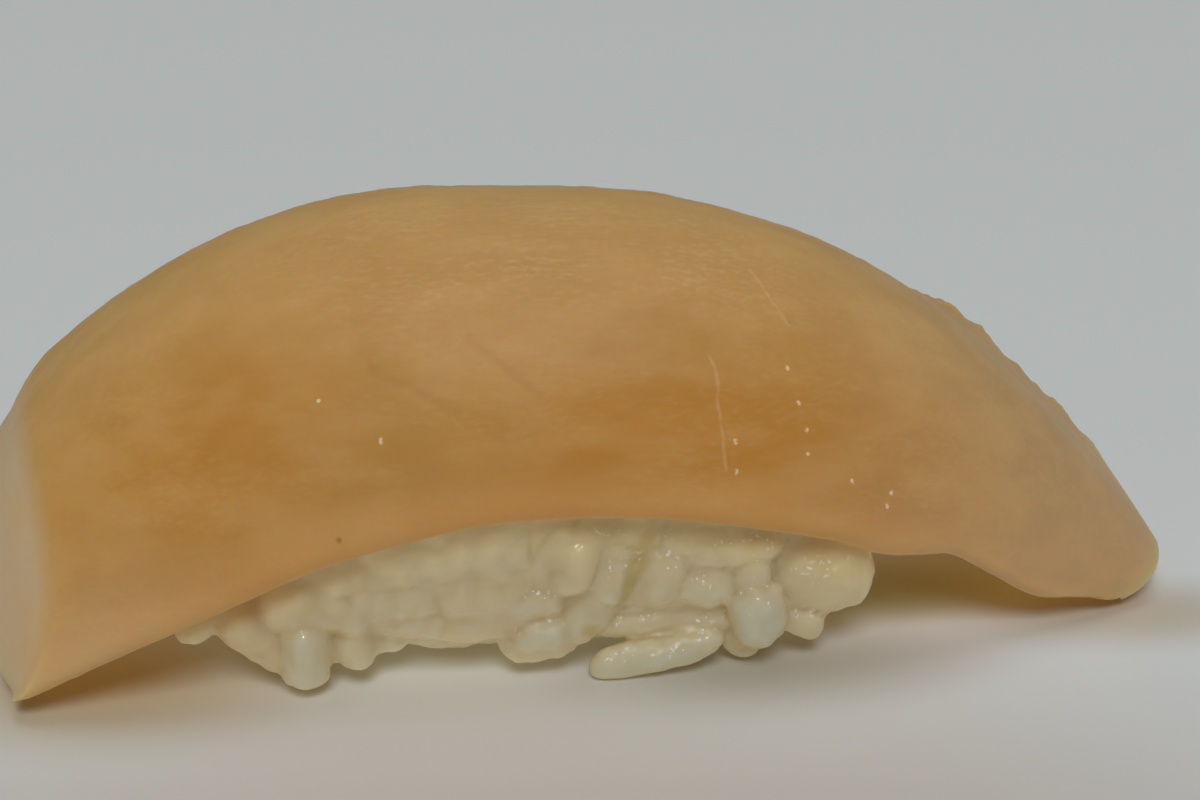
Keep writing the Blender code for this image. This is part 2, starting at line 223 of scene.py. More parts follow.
# Painted shade in the hollows between the grains in front, and the slice's shadow on the grain at the right
# end: from and to in x and z, half-width at the first end, darkness.
SHADED_HOLLOWS = (
    ((0.0030, 0.0105), (0.0013, 0.0052), 0.0013, 1.0), ((-0.0007, 0.0034), (-0.0003, 0.0026), 0.0009, 1.0),
    ((0.0112, 0.0090), (-0.0015, 0.0104), 0.0019, 0.9), ((0.0130, 0.0090), (0.0178, 0.0064), 0.0040, 0.6),
)
HOLLOW_TAPER, HOLLOW_UNEVEN, HOLLOW_GRAIN = 0.5, 0.5, 0.001

# The rice's colours. Zones are laid on in this order: name, share and colour.
MILKY = ((0.70, 0.575, 0.345), (0.73, 0.605, 0.365))
RICE_ZONES = (
    ("tone", 0.5, (0.69, 0.62, 0.42)),
    # painted light: whiter where the low grains in front stand in full light
    ("bare", 0.75, (0.60, 0.61, 0.49)),
    # painted light: amber where light through the flesh falls on the rice
    ("near", 0.8, (0.76, 0.61, 0.29)),
)
# Painted shade for the hollows and creases, and white for the painted glints.
HOLLOW_SHADE, CREASE_SHADE, PAINTED_GLINT = (0.56, 0.43, 0.17), (0.42, 0.33, 0.13), (1.0, 1.0, 0.97)
# The rice's underside and what lies near the slice are painted to glow faintly, standing in for light
# through the rice and the flesh.
RICE_GLOW = (0.115, 0.093, 0.056, 1)

# Grains that stand out at the front: middle, tilt in degrees, length and width.
FRONT_GRAINS = (
    ((0.0033, -0.0104, 0.0013), 10, 0.0083, 0.0022),
    ((0.0038, -0.0095, 0.0031), 1, 0.0090, 0.0020),
    ((0.0038, -0.0100, 0.0064), 70, 0.0036, 0.0031),
    ((0.0060, -0.0101, 0.0057), -6, 0.0040, 0.0029),
    ((0.0073, -0.0099, 0.0080), -4, 0.0073, 0.0026),
    ((0.0091, -0.0101, 0.0061), 85, 0.0034, 0.0026),
    ((0.0094, -0.0105, 0.0036), -78, 0.0042, 0.0032),
    ((0.0085, -0.0093, 0.0019), -50, 0.0031, 0.0024),
    ((0.0122, -0.0090, 0.0028), -25, 0.0034, 0.0027),
    ((0.0137, -0.0090, 0.0056), -6, 0.0066, 0.0052),
    ((0.0005, -0.0103, 0.0065), 70, 0.0036, 0.0027),
    ((-0.0010, -0.0100, 0.0044), 50, 0.0047, 0.0028),
    ((-0.0019, -0.0106, 0.0076), 82, 0.0034, 0.0027),
    ((-0.0040, -0.0103, 0.0051), 10, 0.0034, 0.0023),
    ((-0.0036, -0.0104, 0.0031), 6, 0.0034, 0.0021),
    ((-0.0037, -0.0095, 0.0022), -1, 0.0050, 0.0024),
    ((-0.0022, -0.0090, 0.0091), 3, 0.0065, 0.0027),
    ((0.0014, -0.0090, 0.0087), -2, 0.0059, 0.0027),
    ((-0.0133, -0.0096, 0.0073), 14, 0.0070, 0.0026),
    ((-0.0082, -0.0099, 0.0084), 9, 0.0070, 0.0032),
    ((-0.0120, -0.0098, 0.0056), 2, 0.0070, 0.0026),
    ((-0.0072, -0.0099, 0.0060), 2, 0.0064, 0.0029),
    ((-0.0103, -0.0097, 0.0042), -3, 0.0070, 0.0022),
    ((-0.0069, -0.0098, 0.0040), 6, 0.0059, 0.0025),
    ((-0.0219, -0.0086, 0.0047), 22, 0.0060, 0.0019),
    ((-0.0206, -0.0091, 0.0036), -38, 0.0039, 0.0029),
    ((-0.0194, -0.0092, 0.0029), -55, 0.0034, 0.0026),
    ((-0.0172, -0.0099, 0.0027), -90, 0.0043, 0.0030),
    ((-0.0175, -0.0095, 0.0053), -10, 0.0051, 0.0034),
    ((-0.0153, -0.0097, 0.0052), -15, 0.0042, 0.0030),
    ((-0.0144, -0.0094, 0.0027), -80, 0.0031, 0.0024),
    ((-0.0126, -0.0090, 0.0026), 10, 0.0027, 0.0017),
)

# The floor, and where it is painted warmer and dimmer as shade and shadows, tinted by light through the
# flesh: middle, reach, the even share of the reach, and colour.
FLOOR_SIZE, FLOOR_ROUGHNESS = 6, 0.5
PALE = (0.895, 0.95, 0.955)
PAINTED_SHADE_PLACES = (
    ((-0.009, -0.040, 0), (0.070, 0.043, 1), 0.2, (0.71, 0.66, 0.61)),
    ((-0.029, -0.0085, 0), (0.018, 0.0095, 1), 0.1, (0.70, 0.625, 0.45)),
    ((0.035, -0.0065, 0), (0.014, 0.0065, 1), 0.1, (0.70, 0.64, 0.53)),
    ((0.010, -0.0105, 0), (0.017, 0.0075, 1), 0.0, (0.57, 0.555, 0.485)),
    ((0.0205, -0.001, 0), (0.012, 0.006, 1), 0.2, (0.67, 0.68, 0.46)),
)

# The lights: name, azimuth from the front, elevation, how wide it looks (all in degrees), strength, colour
# and whether it only glints.
SKY, SKY_STRENGTH = (1.0, 0.88, 0.68, 1), 0.10
LIGHTS = (
    ("window", -6, 47, 25, 1.28, (1.0, 1.0, 1.02), False),
    ("ceiling", 172, 80, 40, 0.47, (0.96, 1.0, 1.05), False),
    ("lamp", 12, 52, 12, 1.5, (1.0, 0.98, 0.95), True),
)


def ramp(value, start, end):
    """0 at the start and 1 at the end, which may be the lower one, and even beyond them."""
    return np.clip((value - start) / (end - start), 0, 1)


def fall(u, sides):
    """What is left of a height at u, from 1 at the middle, by (share lost, power) on each side."""
    far = (np.sqrt(u * u + SOFTEN**2) - SOFTEN) / (math.sqrt(1 + SOFTEN**2) - SOFTEN)
    left, right = (1 - share * far**power for share, power in sides)
    return np.where(u < 0, left, right)


def turned_down(t, arc):
    """Steps out and down along an arc that starts level, each from 0 to 1."""
    return np.sin(t * arc) / math.sin(arc), (1 - np.cos(t * arc)) / (1 - math.cos(arc))


def waves(u, bumps):
    """How high a rail waves at u."""
    return sum(height * np.exp(-(((u - middle) / width) ** 2)) for middle, width, height in bumps)


def slice_skin(u, v):
    """The slice's upper face. u runs from end to end and v from front to back, both from -1 to 1."""
    front, crown, back = (np.where(u < 0, *reach) for reach in (FRONT_REACH, CROWN_REACH, BACK_REACH))
    x = SLICE_MIDDLE + u * (crown + v * (back - front) / 2 + v * v * ((front + back) / 2 - crown))
    out, down = turned_down(np.clip(-v, 0, 1), FRONT_ARC)
    back_out, back_down = turned_down(np.clip(v, 0, 1), BACK_ARC)
    y_front, y_back = FRONT_Y * fall(u, FRONT_Y_FALL), BACK_Y * fall(u, BACK_Y_FALL)
    z_front = FRONT_Z * fall(u, FRONT_Z_FALL) + waves(u, FRONT_WAVES)
    z_crown = CROWN_Z * fall(u, CROWN_Z_FALL) + waves(u, CROWN_WAVES)
    z_back = BACK_Z * fall(u, BACK_Z_FALL) + waves(u, BACK_WAVES)
    wander = sum(np.sin(rate * u + start) * share for rate, start, share in RAGGED_WAVES)
    torn = BACK_RAGGED * np.clip(v, 0, 1) ** RAGGED_POWER * wander
    y = CROWN_Y + (y_front - CROWN_Y) * out + (y_back - CROWN_Y) * back_out + torn
    z = z_crown - (z_crown - z_front) * down - (z_crown - z_back) * back_down
    return np.stack(np.broadcast_arrays(x, y, z), -1)


def bevel(width, v):
    """How far a pared end reaches along the slice, least at its front corner."""
    return width * (CORNER_CUT - np.clip(-v, 0, 1) ** CORNER_POWER)


def slice_faces(u, v):
    """The slice's upper and lower faces, and how thick it is there."""
    step = 1e-3
    skin = slice_skin(u, v)
    along = slice_skin(u + step, v) - slice_skin(u - step, v)
    across = slice_skin(u, v + step) - slice_skin(u, v - step)
    normal = np.cross(along, across)
    normal /= np.linalg.norm(normal, axis=-1, keepdims=True)
    edge = np.where(v < 0, FRONT_THICK, BACK_THICK)
    full = SLICE_THICK - (SLICE_THICK - edge) * np.abs(v) ** THINNING
    left = 1 - np.clip(1 - (u + 1) / bevel(LEFT_BEVEL, v), 0, 1) ** LEFT_PARED
    right = np.clip((1 - u) / bevel(RIGHT_BEVEL, v), 0, 1) ** RIGHT_PARED
    thick = full * left * right
    rim = np.sqrt(1 - np.clip((np.abs(v) - 1 + EDGE_ROUND) / EDGE_ROUND, 0, 1) ** 2)
    middle = skin - normal * (full * (1 - left) + thick / 2)[..., None]
    half = normal * (thick / 2 * rim)[..., None]
    return middle + half, middle - half, thick * rim


def slice_grid(steps, rows):
    """Rows and columns over the slice, closer together near its edges."""
    along = np.sin(np.linspace(-1, 1, steps + 1) * CROWDED_ENDS) / math.sin(CROWDED_ENDS)
    across = np.sin(np.linspace(-1, 1, rows + 1) * CROWDED_EDGES) / math.sin(CROWDED_EDGES)
    return along[:, None], across[None, :]


def sheet_object(name, upper, lower):
    """One closed sheet whose upper and lower faces share the points of their common edge."""
    steps, rows = upper.shape[:2]
    top = np.arange(steps * rows).reshape(steps, rows)
    bottom = top.copy()
    bottom[1:-1, 1:-1] = steps * rows + np.arange((steps - 2) * (rows - 2)).reshape(steps - 2, rows - 2)
    points = np.concatenate([upper.reshape(-1, 3), lower[1:-1, 1:-1].reshape(-1, 3)])
    above = [top[:-1, :-1], top[1:, :-1], top[1:, 1:], top[:-1, 1:]]
    below = [bottom[:-1, :-1], bottom[:-1, 1:], bottom[1:, 1:], bottom[1:, :-1]]
    faces = np.concatenate([np.stack(side, -1).reshape(-1, 4) for side in (above, below)])
    # No face reaches the four corners, because the upper and lower ones would lie on each other there.
    corners = {top[i, j] for i in (0, -1) for j in (0, -1)}
    return mesh_object(name, points, [[k for k in face if k not in corners] for face in faces.tolist()])


def place_object(name, data):
    """A new object in the scene."""
    thing = bpy.data.objects.new(name, data)
    bpy.context.scene.collection.objects.link(thing)
    return thing


def mesh_object(name, points, faces):
    """An object made of points and of the faces between them."""
    mesh = bpy.data.meshes.new(name)
    mesh.from_pydata(points.tolist(), [], faces)
    return place_object(name, mesh)


def shape_object(name, shape):
    """An object made of a bmesh, which is freed."""
    mesh = bpy.data.meshes.new(name)
    shape.to_mesh(mesh)
    shape.free()
    return place_object(name, mesh)


def paint(thing, name, values):
    """Stores one number or vector for each point, which the material reads by this name."""
    kind, field = ("FLOAT_VECTOR", "vector") if values.ndim > 1 else ("FLOAT", "value")
    stored = thing.data.attributes.new(name, kind, "POINT").data
    stored.foreach_set(field, values.astype(np.float32).reshape(-1))


def noise_at(points, reach):
    """Smooth noise at each point, whose bumps are about the reach across."""
    return np.array([noise.noise(Vector(point) / reach) for point in points])


def around(u, v, middle, reach):
    """1 at a place on the slice, falling smoothly to 0 at an ellipse around it."""
    near = np.clip(1 - np.hypot((u - middle[0]) / reach[0], (v - middle[1]) / reach[1]), 0, 1)
    return near**2 * (3 - 2 * near)


def both_sides(upper, lower):
    """Numbers for the upper face and then for the lower one's inner points, as sheet_object has them."""
    return np.concatenate([upper.reshape(-1), lower[1:-1, 1:-1].reshape(-1)])


def slice_relief(u, v, upper, lower, thick):
    """The slice's faces with a faint relief on the skin, and with its thin far edge ragged."""
    ragged = EDGE_RAGGED * ramp(v, *RAGGED_V) * ramp(u, *RAGGED_U)
    lift = SKIN_RELIEF * ramp(thick, 0, BACK_THICK)
    for reach, share in RELIEF_OCTAVES:
        bumps = noise_at(upper.reshape(-1, 3), reach).reshape(thick.shape)
        rise = (bumps * share)[..., None] * UPWARD
        upper = upper + rise * (lift + ragged)[..., None]
        lower = lower + rise * ragged[..., None]
    return upper, lower


def slice_zones(u, v, thick):
    """The zones that the flesh's material reads: name, and how much on the upper and on the lower face."""
    none = np.zeros(thick.shape)
    thin = 1 - ramp(thick, 0, SLICE_THICK)
    band_end = bevel(LEFT_BEVEL, v) - 1 - BAND_INSET
    band = ramp(u, band_end, band_end - BAND_SOFT) * (1 - (1 - BAND_BACK) * ramp(v, *BAND_FADE_V))
    toe = around(u, v, *TOE_PLACE)
    tail = ramp(u, *TAIL_U)
    lip = ramp(v, *LIP_V)
    yield "thin", thin, thin
    yield "deep", sum(around(u, v, *place) for place in DEEP_PLACES), none
    yield "crown", around(u, v, *CROWN_PLACE), none
    yield "band", band, band
    yield "toe", toe, toe
    yield "tail", tail, tail
    yield "lip", lip, lip
    yield "wet", around(u, v, *WET_PLACE), none
    yield "under", none, ramp(np.abs(v), *UNDER_V) * ramp(np.abs(u), *UNDER_U)


def build_slice():
    """The slice of tuna, with its colour zones and with u, v and side painted on as its place."""
    u, v = slice_grid(SLICE_STEPS, SLICE_ROWS)
    upper, lower, thick = slice_faces(u, v)
    flesh = sheet_object("tuna_slice", *slice_relief(u, v, upper, lower, thick))
    u, v = np.broadcast_arrays(u, v)
    for name, above, below in slice_zones(u, v, thick):
        paint(flesh, name, both_sides(above, below))
    along, across = both_sides(u, u) * PLACE_SCALE[0], both_sides(v, v) * PLACE_SCALE[1]
    side = both_sides(np.zeros(u.shape), np.ones(u.shape))
    paint(flesh, "place", np.stack([along, across, side], -1))
    return flesh


def core_half(offset):
    """Half the core's size along X, Y and Z, on the side of its centre that the offset points to."""
    return RICE_HALF.x, RICE_HALF.y, RICE_CROWN_HALF if offset.z > 0 else RICE_HALF.z


def on_core(direction):
    """The point of the rice's core that lies in a direction from its centre."""
    size = sum(abs(part / reach) ** RICE_SQUARE for part, reach in zip(direction, core_half(direction)))
    return RICE_CENTRE + direction / size ** (1 / RICE_SQUARE)


def core_normal(point):
    """The way the core faces at a point on it."""
    offset = point - RICE_CENTRE
    slopes = (
        math.copysign(abs(part / reach) ** (RICE_SQUARE - 1) / reach, part)
        for part, reach in zip(offset, core_half(offset))
    )
    return Vector(slopes).normalized()


def tube(name, rings):
    """A closed shape through rings of points, shut with a tip at each end."""
    shape = bmesh.new()
    tips = shape.verts.new(rings[0]), shape.verts.new(rings[-1])
    loops = [[shape.verts.new(point) for point in ring] for ring in rings[1:-1]]
    sides = len(loops[0])
    for near, far in zip(loops, loops[1:]):
        for k in range(sides):
            other = (k + 1) % sides
            shape.faces.new((near[k], near[other], far[other], far[k]))
    for ring, tip in ((loops[0], tips[0]), (loops[-1], tips[1])):
        for k in range(sides):
            shape.faces.new((ring[k], ring[(k + 1) % sides], tip))
    bmesh.ops.recalc_face_normals(shape, faces=shape.faces)
    return shape_object(name, shape)


def build_core():
    """The bare finger of rice."""
    rings = [on_core(Vector((-1, 0, 0)))]
    for row in range(1, RICE_ROWS):
        bow = math.pi * row / RICE_ROWS
        turns = [2 * math.pi * step / RICE_STEPS for step in range(RICE_STEPS)]
        across = [Vector((0, math.cos(turn), math.sin(turn))) * math.sin(bow) for turn in turns]
        rings.append([on_core(side - Vector((math.cos(bow), 0, 0))) for side in across])
    return tube("sushi_rice", [*rings, on_core(Vector((1, 0, 0)))])


def build_grain(draw, middle, along, outward, length, width):
    """One cooked grain: plump, blunt at both ends, a little bent and uneven."""
    along = along.normalized()
    side = outward.cross(along).normalized()
    up = along.cross(side)
    bend = draw.uniform(-GRAIN_BEND, GRAIN_BEND) * length
    flat = draw.uniform(*GRAIN_FLAT) * min(1, BROAD / width)
    waist = draw.uniform(-GRAIN_WAIST, GRAIN_WAIST)
    blunt = BLUNT_ENDS if width < STOUT * BROAD else ROUND_ENDS
    swell = draw.uniform(*WAIST_START)
    rings = []
    for row in range(GRAIN_RINGS + 1):
        place = -math.cos(math.pi * row / GRAIN_RINGS)
        plump = (1 - abs(place) ** blunt) ** 0.5
        girth = width / 2 * plump * (1 + waist * math.sin(WAIST_RATE * place + swell))
        centre = middle + along * (place * length / 2) + side * (bend * (1 - place * place))
        if row in (0, GRAIN_RINGS):
            rings.append(centre)
            continue
        ring = []
        for k in range(GRAIN_SIDES):
            turn = 2 * math.pi * k / GRAIN_SIDES
            ring.append(centre + (side * math.cos(turn) + up * (math.sin(turn) * flat)) * girth)
        rings.append(ring)
    return tube("grain", rings)


def front_places():
    """The grains that stand out at the front, each with its middle, direction, outward side and size."""
    for middle, tilt, length, width in FRONT_GRAINS:
        along = Vector((math.cos(math.radians(tilt)), 0, math.sin(math.radians(tilt))))
        yield Vector(middle), along, Vector((0, -1, 0)), length, width


def scattered_places(taken, fish):
    """Evenly spread grains, seeded, over what the slice leaves bare."""
    draw = random.Random(GRAIN_SEED)
    spots = [middle for middle, *_ in taken]
    for _ in range(GRAIN_TRIES):
        direction = Vector([draw.gauss(0, 1) * half for half in RICE_HALF]).normalized()
        direction = Vector([part * half for part, half in zip(direction, RICE_HALF)]).normalized()
        point = on_core(direction)
        outward = core_normal(point)
        pressed = fish.find_nearest(point)[3] < BARE_DEPTH or point.z < LOWEST_GRAIN
        crowded = any((point - spot).length < GRAIN_SPACING for spot in spots)
        if pressed or crowded or point.y < FRONT_CLEAR:
            continue
        spots.append(point)
        lie = Vector((1, draw.uniform(-GRAIN_SLANT, GRAIN_SLANT), draw.uniform(-GRAIN_SLANT, GRAIN_SLANT)))
        if draw.random() < STANDING_SHARE:
            lie = Vector((draw.uniform(-STANDING_SLANT, STANDING_SLANT), draw.uniform(-1, 1), 1))
        along = lie - outward * lie.dot(outward) * draw.uniform(*LAID_FLAT)
        middle = point + outward * draw.uniform(*GRAIN_PROUD)
        yield middle, along, outward, draw.uniform(*GRAIN_LENGTHS), draw.uniform(*GRAIN_WIDTHS)


def join_by(thing, others, operation):
    """One Boolean between the thing and a collection of others, applied."""
    group = bpy.data.collections.new("others")
    bpy.context.scene.collection.children.link(group)
    for other in others:
        bpy.context.scene.collection.objects.unlink(other)
        group.objects.link(other)
    boolean = thing.modifiers.new("join", "BOOLEAN")
    boolean.operation = operation
    boolean.operand_type = "COLLECTION"
    boolean.collection = group
    boolean.solver = "MANIFOLD"
    apply_modifiers(thing)
    for other in list(group.objects):
        bpy.data.objects.remove(other, do_unlink=True)
    bpy.data.collections.remove(group)


def apply_modifiers(thing):
    """Makes what the modifiers show the thing's own mesh."""
    bpy.context.view_layer.update()
    shown = thing.evaluated_get(bpy.context.evaluated_depsgraph_get())
    made = bpy.data.meshes.new_from_object(shown)
    thing.modifiers.clear()
    thing.data = made


def keep_largest(thing):
    """Drops what the slice has cut off and any sealed hollow, leaving one lump."""
    shape = bmesh.new()
    shape.from_mesh(thing.data)
    unseen, pieces = set(shape.verts), []
    while unseen:
        piece, edge = set(), [unseen.pop()]
        while edge:
            vertex = edge.pop()
            piece.add(vertex)
            near = {link.other_vert(vertex) for link in vertex.link_edges} & unseen
            unseen -= near
            edge.extend(near)
        pieces.append(piece)
    largest = max(pieces, key=len)
    bmesh.ops.delete(shape, geom=[v for v in shape.verts if v not in largest], context="VERTS")
    shape.to_mesh(thing.data)
    shape.free()


def floor_slab():
    """A block with its top at the floor, which cuts the rice flat where it rests."""
    shape = bmesh.new()
    bmesh.ops.create_cube(shape, size=1, matrix=Matrix.Diagonal((*SLAB, 1)))
    bmesh.ops.translate(shape, verts=shape.verts, vec=(0, 0, -SLAB[2] / 2))
    return shape_object("slab", shape)


def pressing_slice():
    """The slice again with few faces, drawn in a little, to press the rice to shape."""
    upper, lower, _ = slice_faces(*slice_grid(PRESS_STEPS, PRESS_ROWS))
    sheet = sheet_object("press", upper, lower)
    for vertex, normal in zip(sheet.data.vertices, [v.normal.copy() for v in sheet.data.vertices]):
        vertex.co -= normal * SUNK
    return sheet


def vertex_normals(thing):
    """The way that the surface faces at each point."""
    return np.array([normal.vector for normal in thing.data.vertex_normals])


def move_points(thing, points):
    """Puts the thing's points in new places."""
    thing.data.vertices.foreach_set("co", points.reshape(-1))
    thing.data.update()


def settle_rice(rice):
    """Runs the pressed grains together, softens the loose ones a little and leaves none quite even."""
    count = len(rice.data.vertices)
    points, edges = np.empty(count * 3), np.empty(len(rice.data.edges) * 2, int)
    rice.data.vertices.foreach_get("co", points)
    rice.data.edges.foreach_get("vertices", edges)
    points, edges = points.reshape(-1, 3), edges.reshape(-1, 2)
    ends, others = np.concatenate([edges, edges[:, ::-1]]).T
    number = np.bincount(ends, minlength=count)[:, None]
    pressed = ramp(points[:, 0], PRESSED_FROM, PRESSED_TO)
    low = ramp(points[:, 2], *LOW_Z) * ramp(points[:, 0], *LOW_X)
    share = np.maximum(pressed * (1 - low), LOOSE_SHARE)[:, None]
    for _ in range(PRESSED_ROUNDS):
        mean = np.stack([np.bincount(ends, points[others, k], count) for k in range(3)], -1) / number
        points = points + (mean - points) * ROUND_SHARE * share
    move_points(rice, points)
    normals = vertex_normals(rice)
    for reach, height in RICE_RELIEF:
        rise = noise_at(points, reach) * height * ramp(points[:, 2], *FOOT_FLAT)
        points = points + normals * rise[:, None]
    move_points(rice, points)


def hollows(points):
    """How deep the painted shade is at each point in the hollows between the grains in front, which are
    lines in x and z.
    """
    depth = np.zeros(len(points))
    uneven = noise_at(points, HOLLOW_GRAIN) * HOLLOW_UNEVEN
    for start, end, width, dark in SHADED_HOLLOWS:
        start, run = np.array(start), np.array(end) - np.array(start)
        offset = points[:, [0, 2]] - start
        along = np.clip(offset @ run / (run @ run), 0, 1)
        far = np.linalg.norm(offset - along[:, None] * run, axis=1) / (width * (1 - along * HOLLOW_TAPER))
        depth = np.maximum(depth, dark * (1 + uneven - far))
    return depth * (points[:, 1] < FRONT_CLEAR)


def grain_tones(points, places):
    """The tone of the grain that is nearest to each point, and how much further off the next grain is."""
    nearest, second = np.full(len(points), 1.0), np.full(len(points), 1.0)
    tones = np.zeros(len(points))
    draw = random.Random(GRAIN_SEED)
    for middle, along, _, length, width in places:
        tone = draw.uniform(0, 1)
        axis = np.array(along.normalized())
        offset = points - np.array(middle)
        slide = np.clip(offset @ axis, (width - length) / 2, (length - width) / 2)
        gap = np.linalg.norm(offset - slide[:, None] * axis, axis=1) - width / 2
        closer = gap < nearest
        second = np.where(closer, nearest, np.minimum(second, gap))
        tones[closer] = tone
        nearest = np.minimum(nearest, gap)
    return tones, second - nearest


def paint_rice(rice, places, fish):
    """Gives each grain its own tone, and finds the creases and hollows for painted shade, what is near the
    slice for painted amber light and glow, and what stands out for painted full light and glints.
    """
    points = np.array([vertex.co for vertex in rice.data.vertices])
    normals = vertex_normals(rice)
    x, y, z = points.T
    tones, gaps = grain_tones(points, places)
    to_slice = np.array([fish.find_nearest(vertex.co)[3] for vertex in rice.data.vertices])
    near = ramp(to_slice, AMBER_REACH, 0)
    loose = ramp(x, PRESSED_TO, PRESSED_FROM)
    open_to_view = (y < FRONT_CLEAR) * (1 - near)
    turned = ramp(normals @ np.array(GLINT_FACING), *GLINT_TURN)
    paint(rice, "tone", tones)
    # Painted light: the rice near the slice is tinted amber, as light through the flesh falls on it.
    paint(rice, "near", near)
    # Painted shade in the creases between the grains in front.
    paint(rice, "crease", ramp(gaps, CREASE_WIDTH, 0) * np.maximum(loose, PRESSED_CREASES) * open_to_view)
    paint(rice, "hollow", hollows(points))
    # Painted light: the low grains in front are whiter, as lit fully outside the slice's shade.
    paint(rice, "bare", ramp(y, *BARE_Y) * ramp(z, *BARE_Z))
    # Painted highlight: where the glint spots go.
    paint(rice, "glint", turned * loose * ramp(y, *GLINT_Y) * (1 - near))
    # Painted glow: down-facing faces and rice near the slice, for light through the rice and the flesh.
    paint(rice, "glow", np.clip(-normals[:, 2], 0, 1) + near)


def build_rice():
    """The core and its grains, cut to the slice and the floor and stuck together into one soft lump."""
    press = pressing_slice()
    corners = [vertex.co for vertex in press.data.vertices]
    fish = BVHTree.FromPolygons(corners, [face.vertices for face in press.data.polygons])
    standing = list(front_places())
    places = standing + list(scattered_places(standing, fish))
    rice = build_core()
    draw = random.Random(GRAIN_SEED)
    join_by(rice, [build_grain(draw, *place) for place in places], "UNION")
    join_by(rice, [press, floor_slab()], "DIFFERENCE")
    keep_largest(rice)
    stick = rice.modifiers.new("stick", "REMESH")
    stick.mode = "VOXEL"
    stick.voxel_size = RICE_VOXEL
    apply_modifiers(rice)
    keep_largest(rice)
    settle_rice(rice)
    paint_rice(rice, places, fish)
    return rice


def shade_smooth(thing):
    """Lets the light run smoothly over the thing's faces."""
    thing.data.polygons.foreach_set("use_smooth", [True] * len(thing.data.polygons))
    thing.data.update()


class Nodes:
    """Adds nodes to one material and joins them. Where a number or colour is wanted, a socket will do."""

    def __init__(self, name):
        self.material = bpy.data.materials.new(name)
        self.material.use_nodes = True
        self.tree = self.material.node_tree
        self.shader = self.tree.nodes["Principled BSDF"]

    def join(self, source, target):
        self.tree.links.new(source, target)

    def feed(self, target, given):
        """Joins a socket to the target, or sets the target's value."""
        if isinstance(given, bpy.types.NodeSocket):
            self.join(given, target)
        else:
            target.default_value = given

    def add(self, kind, **values):
        node = self.tree.nodes.new(kind)
        for name, value in values.items():
            setattr(node, name, value)
        return node

    def painted(self, name, output="Fac"):
        return self.add("ShaderNodeAttribute", attribute_name=name).outputs[output]

    def speckle(self, scale, detail=2.0, stretch=(1, 1, 1), turn=(0, 0, 0), output="Fac"):
        """Noise over the object's own coordinates, from 0 to 1, as one number or as a colour."""
        mapping = self.add("ShaderNodeMapping")
        mapping.inputs["Scale"].default_value = stretch
        mapping.inputs["Rotation"].default_value = turn
        self.join(self.add("ShaderNodeTexCoord").outputs["Object"], mapping.inputs["Vector"])
        texture = self.add("ShaderNodeTexNoise")
        texture.inputs["Scale"].default_value = scale
        texture.inputs["Detail"].default_value = detail
        self.join(mapping.outputs["Vector"], texture.inputs["Vector"])
        return texture.outputs[output]

    def spread(self, value, low, high, to_low=0.0, to_high=1.0):
        """The value's range low to high stretched over another range."""
        node = self.add("ShaderNodeMapRange", interpolation_type="SMOOTHSTEP")
        ends = {"From Min": low, "From Max": high, "To Min": to_low, "To Max": to_high}
        for name, number in ends.items():
            node.inputs[name].default_value = number
        self.join(value, node.inputs["Value"])
        return node.outputs["Result"]

    def mix(self, share, first, second):
        """One colour turning into another."""
        node = self.add("ShaderNodeMix", data_type="RGBA")
        self.feed(node.inputs["Factor"], share)
        for target, given in ((node.inputs[6], first), (node.inputs[7], second)):
            self.feed(target, (*given, 1) if isinstance(given, tuple) else given)
        return node.outputs[2]

    def tint(self, base, painted, share, colour):
        """The base colour with a share of another colour where it is painted."""
        return self.mix(self.math("MULTIPLY", painted, share), base, colour)

    def math(self, operation, first, second):
        node = self.add("ShaderNodeMath", operation=operation)
        self.feed(node.inputs[0], first)
        self.feed(node.inputs[1], second)
        return node.outputs[0]

    def vector(self, operation, first, second=None):
        """Vector arithmetic, giving a length or a dot product as a number."""
        node = self.add("ShaderNodeVectorMath", operation=operation)
        self.feed(node.inputs[0], first)
        if second is not None:
            self.feed(node.inputs["Scale"] if operation == "SCALE" else node.inputs[1], second)
        return node.outputs["Value" if operation in ("LENGTH", "DOT_PRODUCT") else "Vector"]

    def bump(self, height, distance, strength=1.0, under=None):
        """The normal over a relief of this height in metres, laid on another normal if one is given."""
        node = self.add("ShaderNodeBump")
        node.inputs["Distance"].default_value = distance
        node.inputs["Strength"].default_value = strength
        self.join(height, node.inputs["Height"])
        if under is not None:
            self.join(under, node.inputs["Normal"])
        return node.outputs["Normal"]

    def settle(self, **values):
        """Sets the shader's own sockets, named with _ for each space."""
        for name, value in values.items():
            self.shader.inputs[name.replace("_", " ")].default_value = value


def near_line(nodes, place, start, end, width):
    """1 along a line on the slice, falling to 0 a width away. A line from a point to itself is a spot."""
    scaled = [Vector((u * PLACE_SCALE[0], v * PLACE_SCALE[1], 0)) for u, v in (start, end)]
    run = scaled[1] - scaled[0]
    offset = nodes.vector("SUBTRACT", place, scaled[0])
    if run.length:
        along = nodes.math("DIVIDE", nodes.vector("DOT_PRODUCT", offset, run), run.length_squared)
        along.node.use_clamp = True
        offset = nodes.vector("SUBTRACT", offset, nodes.vector("SCALE", run, along))
    return nodes.spread(nodes.vector("LENGTH", offset), 0, width, 1, 0)


def flesh_beads(nodes, place):
    """1 where a bead of water sits on the slice."""
    beads, *others = [near_line(nodes, place, spot, spot, BEAD_SIZE) for spot in BEADS]
    for spot in others:
        beads = nodes.math("MAXIMUM", beads, spot)
    return nodes.math("MULTIPLY", beads, nodes.spread(nodes.speckle(4200, 1.0), 0.3, 0.6, 0.4, 1.0))


